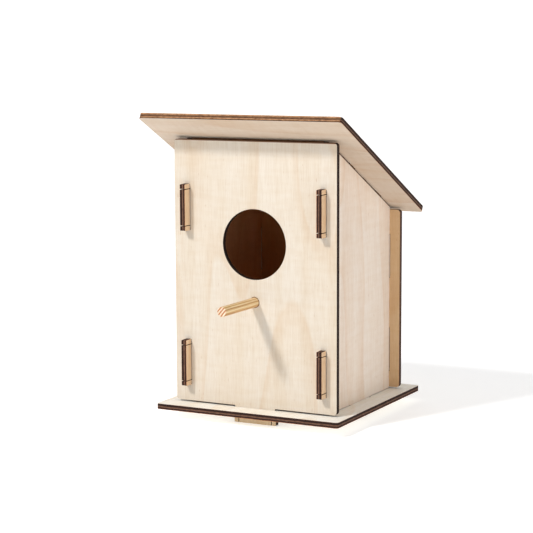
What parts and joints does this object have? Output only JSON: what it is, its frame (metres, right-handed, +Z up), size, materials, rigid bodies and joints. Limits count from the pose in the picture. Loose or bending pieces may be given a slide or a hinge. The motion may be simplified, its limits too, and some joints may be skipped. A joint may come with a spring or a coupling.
{
  "type": "birdhouse",
  "caption": "Flat-pack plywood birdhouse with a lean-to roof that slides on hooked tabs, a round entrance, a dowel perch and a jute hanging loop.",
  "frame": {"origin": "under the middle of the object's outline, level with the tips of the tabs that it stands on", "axes": "+Z up, +Y from the perch and the entrance towards the back, +X towards the right as seen from the front"},
  "size_m": [0.135, 0.1516, 0.1891],
  "materials": {
    "plywood": "bare sanded birch plywood with laser-darkened edges",
    "dowel": "bare turned softwood",
    "jute": "twisted jute"
  },
  "bodies": {
    "house": {"base": "plywood", "front_panel": "plywood", "back_panel": "plywood", "left_panel": "plywood", "right_panel": "plywood", "perch": "dowel"},
    "lid": {"roof": "plywood", "hanging_cord": "jute", "cord_knot": "jute"}
  },
  "joints": [
    {"name": "roof_slide", "type": "slide", "parent": "house", "child": "lid", "axis": [0, -0.891, 0.454], "range_m": [0, 0.01]}
  ]
}
